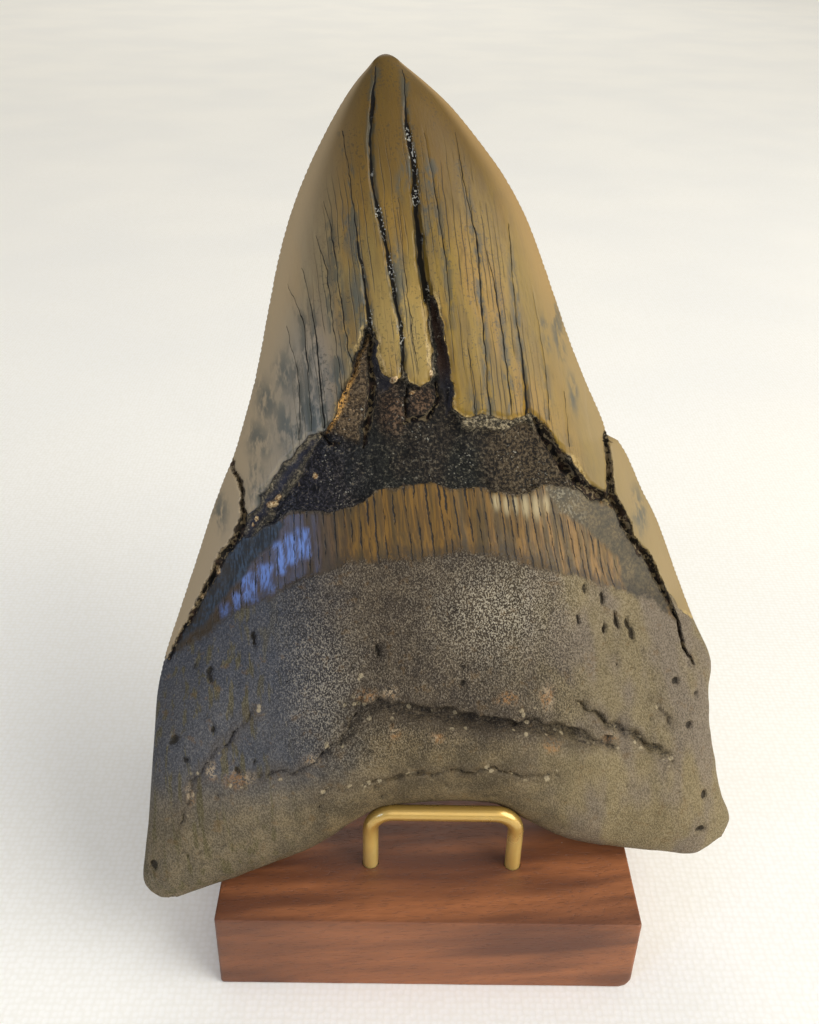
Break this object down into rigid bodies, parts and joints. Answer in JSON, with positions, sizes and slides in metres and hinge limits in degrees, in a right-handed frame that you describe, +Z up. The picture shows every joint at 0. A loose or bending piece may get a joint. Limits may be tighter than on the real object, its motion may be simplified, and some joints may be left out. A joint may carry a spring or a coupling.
{
  "type": "fossil megalodon tooth",
  "caption": "Large fossil shark tooth with a serrated triangular crown and thick lobed root, leaning upright on a walnut block with a brass front staple and rear wire loop.",
  "frame": {"origin": "centre of the block's underside, on the surface that the stand rests on", "axes": "+Z up, +Y from the front staple towards the rear loop, +X to the viewer's right when the root's bulging face is seen; the grain of the block runs along X"},
  "size_m": [0.1189, 0.0892, 0.1614],
  "materials": {
    "fossil": "semi-gloss olive-brown enamel above, dull granular grey-brown root below",
    "walnut": "oiled satin, grain along X",
    "brass": "satin-polished round wire"
  },
  "bodies": {
    "root": {"tooth": "fossil", "base_block": "walnut", "front_staple": "brass", "rear_loop": "brass"}
  },
  "joints": []
}
